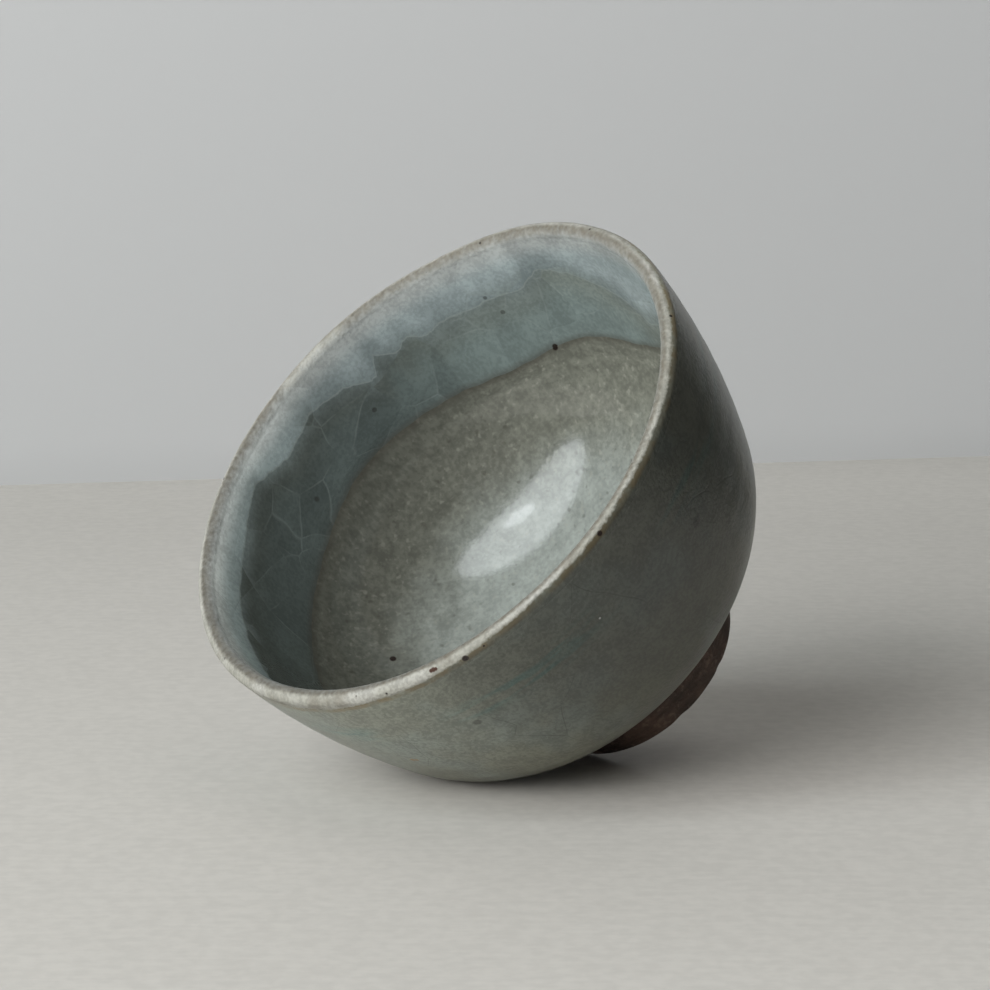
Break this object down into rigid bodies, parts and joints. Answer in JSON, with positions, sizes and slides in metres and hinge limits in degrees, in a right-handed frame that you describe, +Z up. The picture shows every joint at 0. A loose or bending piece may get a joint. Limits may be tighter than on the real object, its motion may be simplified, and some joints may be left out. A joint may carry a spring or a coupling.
{
  "type": "sake cup",
  "caption": "Small thrown stoneware sake cup with a rounded belly, a low luted foot ring and a crackled celadon glaze.",
  "frame": {"origin": "centre of the foot ring's face, on the surface that the upright cup stands on", "axes": "+Z up along the axis of the cup, from foot to mouth; X and Y across it"},
  "size_m": [0.064, 0.064, 0.0415],
  "materials": {
    "stoneware": "fired, bare, slightly gritty",
    "bare_foot_clay": "fired, bare, matte dark red-brown",
    "slip": "fired slip, matte",
    "outer_glaze": "satin gloss grey-green celadon",
    "well_glaze": "gloss grey celadon, fine crackle",
    "mouth_glaze": "gloss blue celadon, plate crackle",
    "lip_glaze": "satin, pale, iron specks"
  },
  "bodies": {
    "root": {"thrown_bowl": "stoneware", "foot_ring": "bare_foot_clay", "luting_slip": "slip", "outer_glaze": "outer_glaze", "well_glaze": "well_glaze", "mouth_glaze": "mouth_glaze", "lip_glaze": "lip_glaze"}
  },
  "joints": []
}
